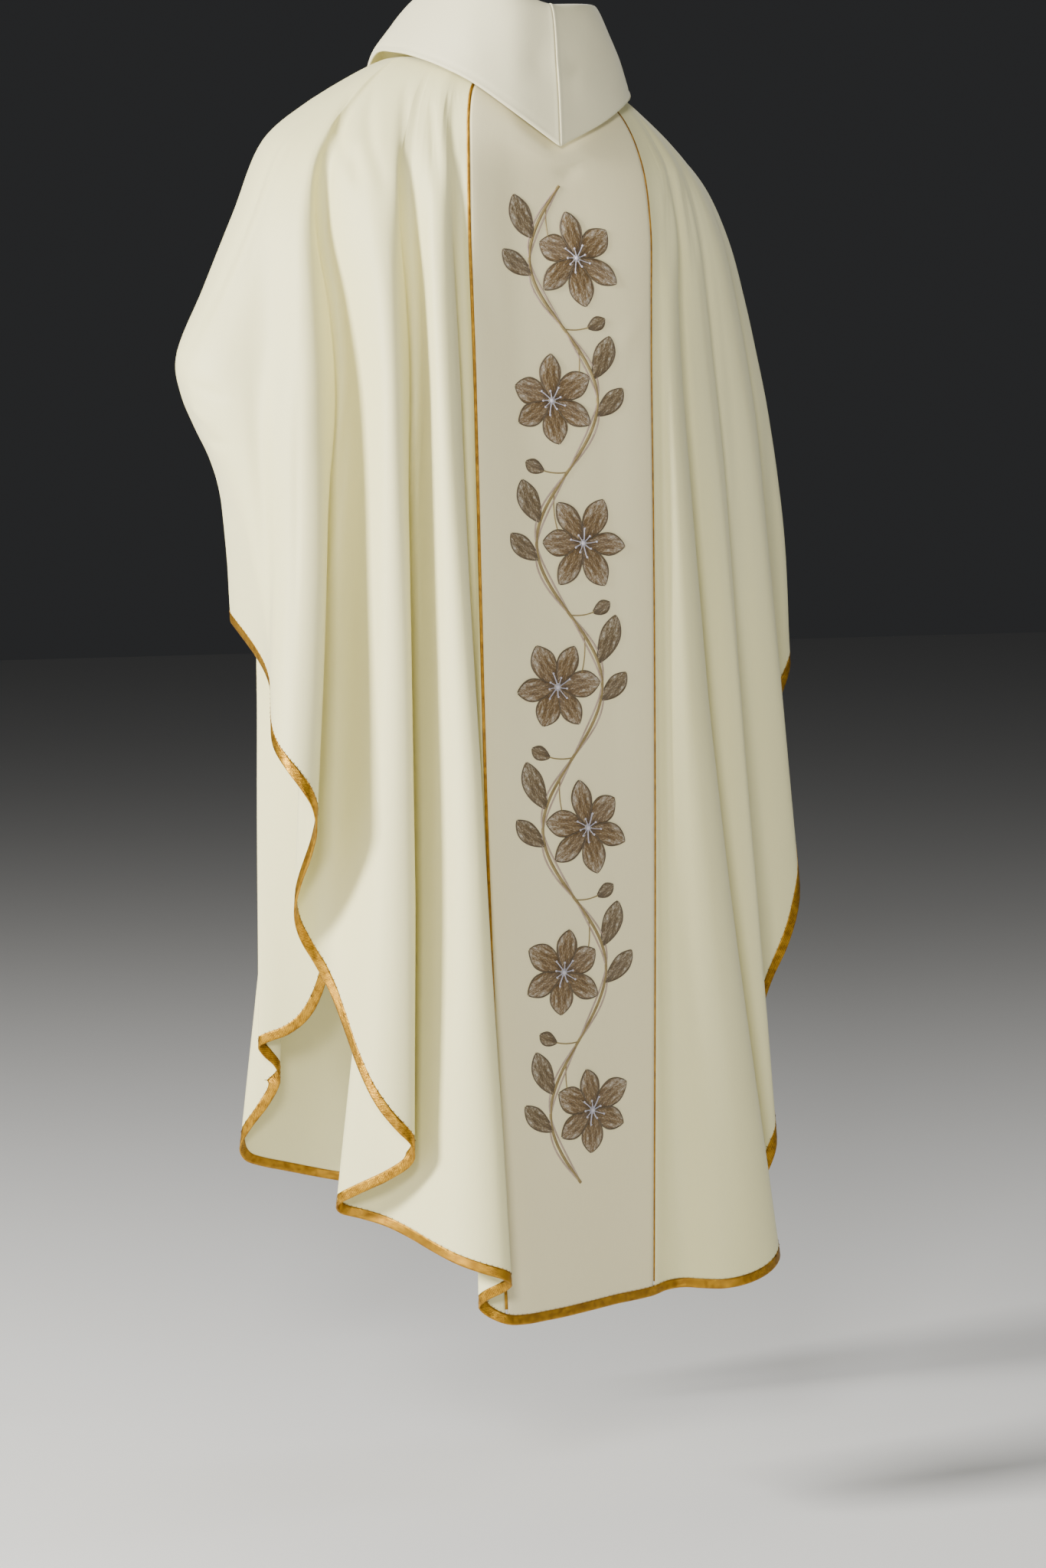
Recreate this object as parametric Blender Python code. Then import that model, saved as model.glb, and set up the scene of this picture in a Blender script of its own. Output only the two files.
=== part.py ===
"""A worn chasuble: two back panels, a back band, a front, a turned-down collar, pipings and bound hem.

The origin is the middle of the neck hole at shoulder level, +Z is up, the front faces -Y and +X is
the wearer's left. The cloth is one draped surface, worked out from tables of folds and cut at its
seams. Each table row is one column of cloth that runs down from the neck to the hem, and the columns
go clockwise, seen from above: left back, front, right back, band.
"""
import math

import bmesh
import bpy
from mathutils import Vector

CLOTH = 0.0020
GAP = 0.0003
PIPING_RADIUS = 0.0017
BINDING_HEIGHT = 0.010
BINDING_PROUD = 0.0006
MOST_SLANT = 0.60
STEEPEST = 0.12
REACH_SMOOTHING = 3
SEAM_SPREAD = 3
COLLAR_CLOTH = 0.0024
COLLAR_FOLD = 0.0055
STAND_DEPTH = 0.006
COLLAR_BOW = 0.003
UNDER_COLLAR = 0.006
PIPING_SEAM = PIPING_RADIUS + 2 * GAP

# The neck hole is an oval, and one shoulder is held higher: heights rise by LEAN times x.
NECK_SIDE = 0.095
NECK_BACK = 0.128
NECK_FRONT = 0.108
NECK_SIDE_Z = -0.004
NECK_BACK_Z = -0.012
NECK_FRONT_Z = -0.065
NECK_DROP = 1.3
LEAN = 0.12

# Back folds lie flat towards a point this far from the centre back, on the wearer's left. Their
# rows give each place as its distance across (to the right, seen from there) and out.
BACK_TURN = math.radians(25)

# Steps of the surface from one level to the next: neck, collar edge, yoke, elbow, middle, hem.
STEPS_DOWN = (2, 3, 3, 4, 4)
YOKE_LEVEL = sum(STEPS_DOWN[:2])
ELBOW_LEVEL = sum(STEPS_DOWN[:3])
COLLAR_STEPS_DOWN = (2, 2, 1, 1, 2, 3)
COLLAR_STEPS_ROUND = 2
SOFTENING = 2

# Columns: name, steps to the next row, yoke (across, out, z), elbow (across, out, z),
# middle (across, out), hem (across, out, z). The middle's height is halfway from elbow to hem.
LEFT_BACK = (
    ("left_seam", 2, (-.016, .202, -.120), (-.010, .214, -.320), (.003, .240), (.023, .276, -1.284)),
    ("back_c", 3, (-.030, .200, -.119), (-.022, .204, -.320), (-.018, .232), (-.018, .280, -1.266)),
    ("tip_c", 3, (-.038, .208, -.118), (-.029, .238, -.320), (.007, .268), (.040, .313, -1.236)),
    ("ridge_c", 3, (-.051, .210, -.117), (-.048, .246, -.320), (-.034, .276), (-.026, .325, -1.217)),
    ("slope_c", 3, (-.065, .204, -.115), (-.060, .210, -.320), (-.074, .200), (-.104, .238, -1.185)),
    ("back_b", 3, (-.077, .197, -.113), (-.072, .191, -.320), (-.117, .202), (-.168, .252, -1.170)),
    ("tip_b", 3, (-.086, .206, -.112), (-.080, .242, -.320), (-.060, .262), (-.054, .298, -1.112)),
    ("ridge_b", 3, (-.112, .202, -.110), (-.101, .250, -.320), (-.104, .274), (-.111, .310, -1.063)),
    ("slope_b", 3, (-.142, .181, -.107), (-.126, .210, -.320), (-.138, .202), (-.158, .230, -.940)),
    ("back_a", 3, (-.160, .163, -.104), (-.147, .188, -.320), (-.182, .200), (-.201, .248, -.872)),
    ("tip_a", 3, (-.172, .173, -.102), (-.158, .234, -.320), (-.153, .260), (-.160, .296, -.772)),
    ("ridge_a", 3, (-.186, .164, -.098), (-.188, .242, -.320), (-.190, .268), (-.197, .303, -.718)),
    ("dip", 2, (-.198, .148, -.094), (-.222, .217, -.320), (-.217, .232), (-.219, .258, -.684)),
    ("bump", 2, (-.208, .138, -.090), (-.248, .213, -.320), (-.236, .214), (-.212, .222, -.646)),
    ("arm_back", 2, (-.216, .124, -.086), (-.282, .203, -.315), (-.254, .188), (-.234, .182, -.609)),
    ("arm_edge", 2, (-.225, .102, -.080), (-.308, .178, -.310), (-.268, .155), (-.258, .142, -.583)),
    ("left_side", 3, (-.232, .070, -.075), (-.320, .140, -.303), (-.278, .118), (-.271, .100, -.570)),
)

RIGHT_BACK = (
    ("right_side", 3, (.232, -.075, -.120), (.298, -.130, -.310), (.330, -.145), (.343, -.150, -.622)),
    ("back_cd", 3, (.227, -.020, -.118), (.284, -.085, -.310), (.300, -.105), (.300, -.125, -.720)),
    ("tip_cd", 3, (.219, .036, -.117), (.271, -.022, -.310), (.314, -.030), (.352, -.060, -.890)),
    ("back_bc", 3, (.209, .050, -.117), (.245, -.002, -.312), (.262, -.008), (.282, -.050, -1.020)),
    ("tip_bc", 3, (.201, .075, -.117), (.236, .042, -.314), (.281, .052), (.320, .028, -1.149)),
    ("back_ab", 3, (.189, .080, -.117), (.208, .056, -.316), (.234, .052), (.272, .018, -1.205)),
    ("tip_ab", 3, (.188, .090, -.118), (.203, .096, -.318), (.252, .108), (.323, .086, -1.250)),
    ("ridge_ab", 2, (.180, .102, -.119), (.192, .121, -.320), (.215, .144), (.250, .149, -1.277)),
    ("dip_ab", 2, (.172, .109, -.120), (.181, .117, -.320), (.192, .131), (.205, .120, -1.272)),
)

BAND = (
    ("right_seam", 2, (.165, .117, -.120), (.172, .130, -.320), (.176, .149), (.176, .150, -1.279)),
    ("band_right", 2, (.120, .142, -.121), (.127, .154, -.320), (.134, .174), (.138, .183, -1.281)),
    ("band_middle", 2, (.074, .162, -.121), (.081, .175, -.320), (.092, .199), (.101, .215, -1.284)),
    ("band_left", 2, (.029, .181, -.121), (.036, .194, -.320), (.048, .221), (.063, .247, -1.286)),
)

# The front's rows give x and y themselves.
FRONT = (
    ("left_arm", 3, (.219, -.085, -.100), (.310, -.080, -.318), (.250, -.066), (.203, -.073, -.625)),
    ("left_wrist", 3, (.196, -.113, -.115), (.245, -.155, -.330), (.175, -.105), (.137, -.086, -.860)),
    ("left_dip_1", 3, (.168, -.130, -.126), (.205, -.174, -.330), (.160, -.132), (.142, -.145, -1.030)),
    ("left_top_1", 3, (.146, -.140, -.134), (.178, -.206, -.325), (.194, -.198), (.201, -.187, -1.050)),
    ("left_dip_2", 3, (.122, -.148, -.142), (.142, -.191, -.325), (.146, -.188), (.150, -.186, -1.088)),
    ("left_top_2", 3, (.100, -.156, -.150), (.118, -.211, -.320), (.154, -.226), (.206, -.234, -1.176)),
    ("left_dip_3", 3, (.076, -.162, -.160), (.088, -.196, -.320), (.108, -.216), (.138, -.250, -1.200)),
    ("left_top_3", 3, (.050, -.168, -.168), (.058, -.209, -.320), (.070, -.228), (.086, -.254, -1.214)),
    ("left_dip_4", 2, (.026, -.171, -.172), (.030, -.200, -.320), (.034, -.210), (.040, -.224, -1.220)),
    ("front_middle", 3, (.000, -.173, -.175), (.002, -.205, -.320), (.000, -.222), (-.004, -.243, -1.222)),
    ("right_dip_4", 3, (-.030, -.170, -.175), (-.036, -.199, -.320), (-.044, -.207), (-.052, -.222, -1.221)),
    ("right_top_3", 3, (-.058, -.166, -.172), (-.068, -.210, -.322), (-.086, -.229), (-.102, -.256, -1.214)),
    ("right_dip_3", 3, (-.084, -.160, -.166), (-.098, -.196, -.324), (-.114, -.200), (-.134, -.213, -1.196)),
    ("right_top_2", 3, (-.108, -.153, -.160), (-.128, -.211, -.326), (-.160, -.224), (-.206, -.232, -1.160)),
    ("right_dip_2", 3, (-.130, -.144, -.154), (-.154, -.190, -.328), (-.160, -.176), (-.166, -.163, -1.070)),
    ("right_top_1", 3, (-.154, -.134, -.148), (-.190, -.203, -.332), (-.206, -.188), (-.218, -.172, -.990)),
    ("right_dip_1", 3, (-.178, -.122, -.142), (-.222, -.172, -.336), (-.220, -.142), (-.208, -.122, -.880)),
    ("right_wrist", 3, (-.202, -.103, -.136), (-.264, -.160, -.338), (-.262, -.140), (-.254, -.128, -.760)),
    ("right_arm", 3, (-.224, -.068, -.128), (-.308, -.084, -.326), (-.324, -.080), (-.328, -.084, -.664)),
)

# The left arm is raised: how far these columns are pulled straight between the yoke and the elbow.
STRAIGHT_ARM = {
    "bump": 0.35, "arm_back": 0.75, "arm_edge": 0.95, "left_side": 0.95, "left_arm": 0.75,
    "left_wrist": 0.3,
}

# One half of the collar, back to front: its lower edge (x, y, z) and its top fold (x, y, z).
COLLAR = (
    ((.000, .182, -.089), (.000, .156, .055)),
    ((.052, .172, -.058), (.040, .146, .062)),
    ((.084, .154, -.036), (.064, .124, .066)),
    ((.104, .130, -.023), (.078, .096, .068)),
    ((.119, .094, -.012), (.087, .062, .067)),
    ((.126, .046, -.004), (.098, .026, .050)),
    ((.126, .000, -.003), (.106, -.014, .020)),
    ((.114, -.056, -.030), (.094, -.056, .000)),
    ((.076, -.118, -.070), (.060, -.094, -.020)),
    ((.000, -.164, -.120), (.000, -.118, -.032)),
)

IVORY = ((0.83, 0.80, 0.66, 1), 0.62, 0.0)
STONE = ((0.74, 0.69, 0.55, 1), 0.66, 0.0)
GOLD = ((0.60, 0.37, 0.08, 1), 0.38, 0.65)


def material(name, finish):
    colour, roughness, metallic = finish
    made = bpy.data.materials.new(name)
    made.use_nodes = True
    shader = made.node_tree.nodes["Principled BSDF"]
    shader.inputs["Base Color"].default_value = colour
    shader.inputs["Roughness"].default_value = roughness
    shader.inputs["Metallic"].default_value = metallic
    return made


def turned(across, out, z):
    """A place given across and out, as the back's rows give it, in x, y and z."""
    c, s = math.cos(BACK_TURN), math.sin(BACK_TURN)
    return Vector((-c * across + s * out, s * across + c * out, z))


def curve_through(points, steps, closed=False):
    """Points on a smooth curve through the given ones, with steps[i] spans after point i."""
    n = len(points)
    spans = n if closed else n - 1
    made = []
    for i in range(spans):
        p1, p2 = points[i], points[(i + 1) % n]
        p0 = points[i - 1] if closed or i > 0 else 2 * p1 - p2
        p3 = points[(i + 2) % n] if closed or i + 2 < n else 2 * p2 - p1
        t1 = max((p1 - p0).length, 1e-6) ** 0.5
        t2 = t1 + max((p2 - p1).length, 1e-6) ** 0.5
        t3 = t2 + max((p3 - p2).length, 1e-6) ** 0.5
        for k in range(steps[i]):
            t = t1 + (t2 - t1) * k / steps[i]
            a1 = p0 * ((t1 - t) / t1) + p1 * (t / t1)
            a2 = p1 * ((t2 - t) / (t2 - t1)) + p2 * ((t - t1) / (t2 - t1))
            a3 = p2 * ((t3 - t) / (t3 - t2)) + p3 * ((t - t2) / (t3 - t2))
            b1 = a1 * ((t2 - t) / t2) + a2 * (t / t2)
            b2 = a2 * ((t3 - t) / (t3 - t1)) + a3 * ((t - t1) / (t3 - t1))
            made.append(b1 * ((t2 - t) / (t2 - t1)) + b2 * ((t - t1) / (t2 - t1)))
    if not closed:
        made.append(points[-1].copy())
    return made


def neck_point(angle):
    """The neck seam in the direction of an angle from +X."""
    c, s = math.cos(angle), math.sin(angle)
    reach, end_z = (NECK_BACK, NECK_BACK_Z) if s > 0 else (NECK_FRONT, NECK_FRONT_Z)
    x = NECK_SIDE * c
    return Vector((x, reach * s, NECK_SIDE_Z + (end_z - NECK_SIDE_Z) * abs(s) ** NECK_DROP + LEAN * x))


def collar_rings():
    """The collar's lower edge and top fold all round, as points clockwise from the centre back."""
    rings = []
    for which in (0, 1):
        left = [Vector(row[which]) for row in COLLAR]
        right = [Vector((-p.x, p.y, p.z)) for p in reversed(left[1:-1])]
        ring = left + right
        for p in ring:
            p.z += LEAN * p.x
        rings.append(ring)
    return rings


def under_collar(angle):
    """The cloth just below the collar's lower edge, in the direction of an angle."""
    ring = collar_rings()[0]
    way = Vector((math.cos(angle), math.sin(angle)))
    for i, a in enumerate(ring):
        b = ring[(i + 1) % len(ring)]
        side_a = way.x * a.y - way.y * a.x
        side_b = way.x * b.y - way.y * b.x
        if side_a >= 0 > side_b:
            p = a.lerp(b, side_a / (side_a - side_b))
            return p - Vector((way.x, way.y, 1)) * UNDER_COLLAR
    return neck_point(angle)


def column(row, place):
    """One column's levels: neck, under the collar's edge, yoke, elbow, middle and hem."""
    _, _, yoke, elbow, middle, hem = row
    yoke, elbow, hem = place(*yoke), place(*elbow), place(*hem)
    middle = place(*middle, (elbow.z + hem.z) / 2)
    angle = math.atan2(yoke.y, yoke.x)
    return [neck_point(angle), under_collar(angle), yoke, elbow, middle, hem]


def straightened(name, points):
    """A column with its cloth pulled straight from the shoulder to the raised elbow."""
    pull = STRAIGHT_ARM.get(name, 0)
    for i in range(YOKE_LEVEL + 1, ELBOW_LEVEL):
        share = (i - YOKE_LEVEL) / (ELBOW_LEVEL - YOKE_LEVEL)
        points[i] = points[i].lerp(points[YOKE_LEVEL].lerp(points[ELBOW_LEVEL], share), pull)
    return points


def all_columns():
    """The names, steps and fine level points of every column, clockwise from the left seam."""
    rows = [(row, turned) for row in LEFT_BACK]
    rows += [(row, lambda x, y, z: Vector((x, y, z))) for row in FRONT]
    rows += [(row, turned) for row in RIGHT_BACK + BAND]
    names = [row[0] for row, _ in rows]
    steps = [row[1] for row, _ in rows]
    columns = [straightened(row[0], curve_through(column(row, place), STEPS_DOWN)) for row, place in rows]
    return names, steps, columns


def softened(level, fixed):
    """A level with its folds rounded off, apart from the fixed places."""
    for _ in range(SOFTENING):
        n = len(level)
        level = [
            p if j in fixed else p * 0.5 + (level[j - 1] + level[(j + 1) % n]) * 0.25
            for j, p in enumerate(level)
        ]
    return level


def surface():
    """The draped surface as levels of points, its normals, and the place of each named column."""
    names, steps, columns = all_columns()
    place, at = {}, 0
    for name, count in zip(names, steps):
        place[name] = at
        at += count
    fixed = set(stretch(place["right_seam"], place["left_seam"], at))
    levels = [
        softened(curve_through([c[i] for c in columns], steps, closed=True), fixed)
        for i in range(len(columns[0]))
    ]
    normals = []
    for i, level in enumerate(levels):
        above, below = levels[max(i - 1, 0)], levels[min(i + 1, len(levels) - 1)]
        n = len(level)
        normals.append(
            [(level[(j + 1) % n] - level[j - 1]).cross(below[j] - above[j]).normalized() for j in range(n)]
        )
    return levels, normals, place


def moved_in(points, away):
    """A row of points whose first and last points stand away from the seams beside them."""
    row = [p.copy() for p in points]
    row[0] += (points[1] - points[0]).normalized() * away[0]
    row[-1] += (points[-2] - points[-1]).normalized() * away[1]
    return row


def wall(outer, inner):
    """A closed wall between two grids of points of the same size, both split on the same diagonals."""
    bm = bmesh.new()
    grids = [[[bm.verts.new(p) for p in row] for row in grid] for grid in (outer, inner)]
    rows, cols = len(outer), len(outer[0])
    out, back = grids
    for i in range(rows - 1):
        for j in range(cols - 1):
            down = (outer[i][j] - outer[i + 1][j + 1]).length
            up = (outer[i + 1][j] - outer[i][j + 1]).length
            for side in grids:
                a, b, c, d = side[i][j], side[i][j + 1], side[i + 1][j + 1], side[i + 1][j]
                for face in ((a, b, c), (a, c, d)) if down < up else ((a, b, d), (b, c, d)):
                    bm.faces.new(face if side is out else reversed(face))
    for i in (0, rows - 1):
        for j in range(cols - 1):
            bm.faces.new((out[i][j], back[i][j], back[i][j + 1]))
            bm.faces.new((out[i][j], back[i][j + 1], out[i][j + 1]))
    for j in (0, cols - 1):
        for i in range(rows - 1):
            bm.faces.new((out[i][j], back[i][j], back[i + 1][j]))
            bm.faces.new((out[i][j], back[i + 1][j], out[i + 1][j]))
    bmesh.ops.recalc_face_normals(bm, faces=bm.faces)
    return bm


def add_piece(name, bm, look, home):
    """A named object made from a bmesh, shaded smooth with crisp edges."""
    mesh = bpy.data.meshes.new(name)
    bm.to_mesh(mesh)
    bm.free()
    mesh.shade_smooth()
    mesh.set_sharp_from_angle(angle=math.radians(50))
    mesh.materials.append(look)
    made = bpy.data.objects.new(name, mesh)
    home.objects.link(made)
    return made


def stretch(start, end, count):
    """The places of the columns from start to end, clockwise, round a ring of count columns."""
    span = (end - start) % count
    return [(start + k) % count for k in range(span + 1)]


def above_hem(levels, height, clear=0.0):
    """Points on the drape at a height above the hem's edge, and a little more that is clear of it."""
    hem, above = levels[-1], levels[-2]
    n = len(hem)
    ups = [(a - p).normalized() for p, a in zip(hem, above)]
    reach = []
    for j, up in enumerate(ups):
        along = (hem[(j + 1) % n] - hem[j - 1]).normalized()
        reach.append(height / max(up.cross(along).length, MOST_SLANT))
    for _ in range(REACH_SMOOTHING):
        reach = [(reach[j - 1] + 2 * reach[j] + reach[(j + 1) % n]) / 4 for j in range(n)]
    row = [p + up * r for p, up, r in zip(hem, ups, reach)]
    made = []
    for j, p in enumerate(row):
        sides = [(row[j - 1] - p).normalized(), (row[(j + 1) % n] - p).normalized()]
        slant = max(min(ups[j].cross(side).length for side in sides), STEEPEST)
        made.append(p + ups[j] * (clear / slant))
    return made


def panel(name, places, away, levels, normals, look, home):
    """A panel of the drape between two seams, ending just above the binding."""
    levels = levels[:-1] + [above_hem(levels, BINDING_HEIGHT, SEAM_SPREAD * GAP)]
    outer, inner = [], []
    for level, normal in zip(levels, normals):
        outer.append(moved_in([level[j] for j in places], away))
        inner.append(moved_in([level[j] - normal[j] * CLOTH for j in places], away))
    return add_piece(name, wall(outer, inner), look, home)


def binding(name, places, levels, normals, look, home):
    """A bias binding along a stretch of the hem, a little proud of the cloth on both faces."""
    faces = []
    for depth in (-BINDING_PROUD, CLOTH + BINDING_PROUD):
        rows = [
            moved_in([row[j] - normals[-1][j] * depth for j in places], (GAP / 2, GAP / 2))
            for row in (above_hem(levels, BINDING_HEIGHT), levels[-1])
        ]
        faces.append(rows)
    return add_piece(name, wall(*faces), look, home)


def piping(name, place, levels, normals, look, home):
    """A covered cord in the seam beside the band, from the neck to the binding."""
    path = [level[place] - normal[place] * (CLOTH / 2) for level, normal in zip(levels, normals)][2:]
    path[-1] = above_hem(levels, BINDING_HEIGHT, PIPING_RADIUS)[place] - normals[-1][place] * (CLOTH / 2)
    line = bpy.data.curves.new(name, "CURVE")
    line.dimensions = "3D"
    line.bevel_depth = PIPING_RADIUS
    line.bevel_resolution = 2
    line.use_fill_caps = True
    spline = line.splines.new("POLY")
    fine = curve_through(path, [2] * (len(path) - 1))
    spline.points.add(len(fine) - 1)
    for point, p in zip(spline.points, fine):
        point.co = (*p, 1)
    line.materials.append(look)
    made = bpy.data.objects.new(name, line)
    home.objects.link(made)
    return made


def collar_half(name, side, look, home):
    """A collar half: a stand inside the neck, a rolled top fold and a fall that lies outside."""
    edge_ring, fold_ring = collar_rings()
    count = len(COLLAR)
    order = range(count) if side > 0 else [0] + list(range(len(edge_ring) - 1, count - 2, -1))
    sections = []
    for k in order:
        edge, fold = edge_ring[k], fold_ring[k]
        seat = neck_point(math.atan2(fold.y, fold.x))
        flat = Vector((fold.x, fold.y, 0)).normalized()
        foot = seat - flat * (CLOTH + 2 * GAP + COLLAR_CLOTH / 2) - Vector((0, 0, STAND_DEPTH))
        rise = foot + Vector((0, 0, 2 * STAND_DEPTH))
        drop = Vector((0, 0, COLLAR_FOLD))
        rim_in = fold - flat * COLLAR_FOLD - drop
        rim_out = fold + flat * COLLAR_FOLD - drop
        waist = rim_out.lerp(edge, 0.5) + flat * COLLAR_BOW
        sections.append([foot, rise, rim_in, fold, rim_out, waist, edge])
    along = [curve_through(section, COLLAR_STEPS_DOWN) for section in sections]
    round_steps = [COLLAR_STEPS_ROUND] * (count - 1)
    grid = [curve_through([a[i] for a in along], round_steps) for i in range(len(along[0]))]
    outer, inner = [], []
    for i, row in enumerate(grid):
        above, below = grid[max(i - 1, 0)], grid[min(i + 1, len(grid) - 1)]
        top, under = [], []
        for j, p in enumerate(row):
            across = row[min(j + 1, len(row) - 1)] - row[max(j - 1, 0)]
            if j in (0, len(row) - 1):
                across = Vector((across.x, 0, 0))
            normal = across.cross(below[j] - above[j]).normalized() * (COLLAR_CLOTH / 2 * side)
            top.append(p + normal)
            under.append(p - normal)
        for made in (top, under):
            made[0].x += side * GAP / 2
            made[-1].x += side * GAP / 2
        outer.append(top)
        inner.append(under)
    return add_piece(name, wall(outer, inner), look, home)


def main():
    for old in list(bpy.data.objects):
        bpy.data.objects.remove(old)
    home = bpy.data.collections.new("chasuble")
    bpy.context.scene.collection.children.link(home)

    levels, normals, place = surface()
    count = len(levels[0])
    left, right = place["left_seam"], place["right_seam"]
    left_side, right_side = place["left_side"], place["right_side"]
    shared = (levels, normals)

    panels = (
        ("back_left", left, left_side, (PIPING_SEAM, GAP / 2), IVORY),
        ("front", left_side, right_side, (GAP / 2, GAP / 2), IVORY),
        ("back_right", right_side, right, (GAP / 2, PIPING_SEAM), IVORY),
        ("back_band", right, left, (PIPING_SEAM, PIPING_SEAM), STONE),
    )
    for name, start, end, away, finish in panels:
        panel(name, stretch(start, end, count), away, *shared, material(f"{name}_cloth", finish), home)
    for name, start, end in (
        ("binding_back", right_side, left_side),
        ("binding_front", left_side, right_side),
    ):
        binding(name, stretch(start, end, count), *shared, material(f"{name}_gold", GOLD), home)
    for name, at in (("piping_left", left), ("piping_right", right)):
        piping(name, at, *shared, material(f"{name}_gold", GOLD), home)
    for name, side in (("collar_left", 1), ("collar_right", -1)):
        collar_half(name, side, material(f"{name}_cloth", IVORY), home)


main()
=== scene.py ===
import math
import random

import bmesh
import bpy
import numpy as np
from mathutils import Matrix, Vector


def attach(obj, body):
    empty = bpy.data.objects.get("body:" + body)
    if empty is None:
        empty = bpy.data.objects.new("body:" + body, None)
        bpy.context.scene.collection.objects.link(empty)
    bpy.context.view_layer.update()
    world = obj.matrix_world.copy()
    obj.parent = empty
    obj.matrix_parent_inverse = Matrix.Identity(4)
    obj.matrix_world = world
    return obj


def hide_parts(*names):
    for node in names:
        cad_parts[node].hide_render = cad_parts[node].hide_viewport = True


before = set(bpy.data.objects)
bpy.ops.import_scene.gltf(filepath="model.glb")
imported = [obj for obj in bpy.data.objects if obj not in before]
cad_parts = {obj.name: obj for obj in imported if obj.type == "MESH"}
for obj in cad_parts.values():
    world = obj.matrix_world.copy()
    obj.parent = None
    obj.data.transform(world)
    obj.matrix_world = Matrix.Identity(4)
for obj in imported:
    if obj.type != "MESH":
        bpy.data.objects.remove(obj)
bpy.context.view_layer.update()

print("frame loaded:", ", ".join(sorted(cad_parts)))

# The garment hangs as the CAD part does, from the same tables: x is the wearer's left, the front
# faces -y, heights are measured from the shoulders. Lengths are in metres.
drape = {
    "neckSide": 0.095, "neckBack": 0.128, "neckFront": 0.108,
    "neckSideZ": -0.004, "neckBackZ": -0.012, "neckFrontZ": -0.065, "neckDrop": 1.3,
    "lean": 0.12,                        # how much higher the left shoulder is held, per metre
    "backTurn": 25,                      # degrees that the back's folds are turned towards the left
    "underCollar": 0.006,
    "stepsDown": (2, 3, 3, 4, 4),        # neck, collar edge, yoke, elbow, middle, hem
    "softening": 2,
    "straightArm": {"bump": 0.35, "arm_back": 0.75, "arm_edge": 0.95, "left_side": 0.95,
                    "left_arm": 0.75, "left_wrist": 0.3},
    "fineRound": 4,                      # finer steps of the visible cloth
    "fineDown": 8,
    "cloth": 0.0012,
    "tuck": 0.0012,                      # how far a panel's edge stays from the middle of a piping
    "sideGap": 0.00015,
    "tuckShare": 0.6,                    # of a column's width, at most
    "hemShare": 0.05,                    # of the last row, left to the binding
}

# Columns of cloth: name, steps to the next, then yoke (across, out, z), elbow (across, out, z),
# middle (across, out) and hem (across, out, z).
leftBackFolds = [
    ("left_seam", 2, (-.016, .202, -.120), (-.010, .214, -.320), (.003, .240), (.023, .276, -1.284)),
    ("back_c", 3, (-.030, .200, -.119), (-.022, .204, -.320), (-.018, .232), (-.018, .280, -1.266)),
    ("tip_c", 3, (-.038, .208, -.118), (-.029, .238, -.320), (.007, .268), (.040, .313, -1.236)),
    ("ridge_c", 3, (-.051, .210, -.117), (-.048, .246, -.320), (-.034, .276), (-.026, .325, -1.217)),
    ("slope_c", 3, (-.065, .204, -.115), (-.060, .210, -.320), (-.074, .200), (-.104, .238, -1.185)),
    ("back_b", 3, (-.077, .197, -.113), (-.072, .191, -.320), (-.117, .202), (-.168, .252, -1.170)),
    ("tip_b", 3, (-.086, .206, -.112), (-.080, .242, -.320), (-.060, .262), (-.054, .298, -1.112)),
    ("ridge_b", 3, (-.112, .202, -.110), (-.101, .250, -.320), (-.104, .274), (-.111, .310, -1.063)),
    ("slope_b", 3, (-.142, .181, -.107), (-.126, .210, -.320), (-.138, .202), (-.158, .230, -.940)),
    ("back_a", 3, (-.160, .163, -.104), (-.147, .188, -.320), (-.182, .200), (-.201, .248, -.872)),
    ("tip_a", 3, (-.172, .173, -.102), (-.158, .234, -.320), (-.153, .260), (-.160, .296, -.772)),
    ("ridge_a", 3, (-.186, .164, -.098), (-.188, .242, -.320), (-.190, .268), (-.197, .303, -.718)),
    ("dip", 2, (-.198, .148, -.094), (-.222, .217, -.320), (-.217, .232), (-.219, .258, -.684)),
    ("bump", 2, (-.208, .138, -.090), (-.248, .213, -.320), (-.236, .214), (-.212, .222, -.646)),
    ("arm_back", 2, (-.216, .124, -.086), (-.282, .203, -.315), (-.254, .188), (-.234, .182, -.609)),
    ("arm_edge", 2, (-.225, .102, -.080), (-.308, .178, -.310), (-.268, .155), (-.258, .142, -.583)),
    ("left_side", 3, (-.232, .070, -.075), (-.320, .140, -.303), (-.278, .118), (-.271, .100, -.570)),
]
rightBackFolds = [
    ("right_side", 3, (.232, -.075, -.120), (.298, -.130, -.310), (.330, -.145), (.343, -.150, -.622)),
    ("back_cd", 3, (.227, -.020, -.118), (.284, -.085, -.310), (.300, -.105), (.300, -.125, -.720)),
    ("tip_cd", 3, (.219, .036, -.117), (.271, -.022, -.310), (.314, -.030), (.352, -.060, -.890)),
    ("back_bc", 3, (.209, .050, -.117), (.245, -.002, -.312), (.262, -.008), (.282, -.050, -1.020)),
    ("tip_bc", 3, (.201, .075, -.117), (.236, .042, -.314), (.281, .052), (.320, .028, -1.149)),
    ("back_ab", 3, (.189, .080, -.117), (.208, .056, -.316), (.234, .052), (.272, .018, -1.205)),
    ("tip_ab", 3, (.188, .090, -.118), (.203, .096, -.318), (.252, .108), (.323, .086, -1.250)),
    ("ridge_ab", 2, (.180, .102, -.119), (.192, .121, -.320), (.215, .144), (.250, .149, -1.277)),
    ("dip_ab", 2, (.172, .109, -.120), (.181, .117, -.320), (.192, .131), (.205, .120, -1.272)),
]
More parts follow.
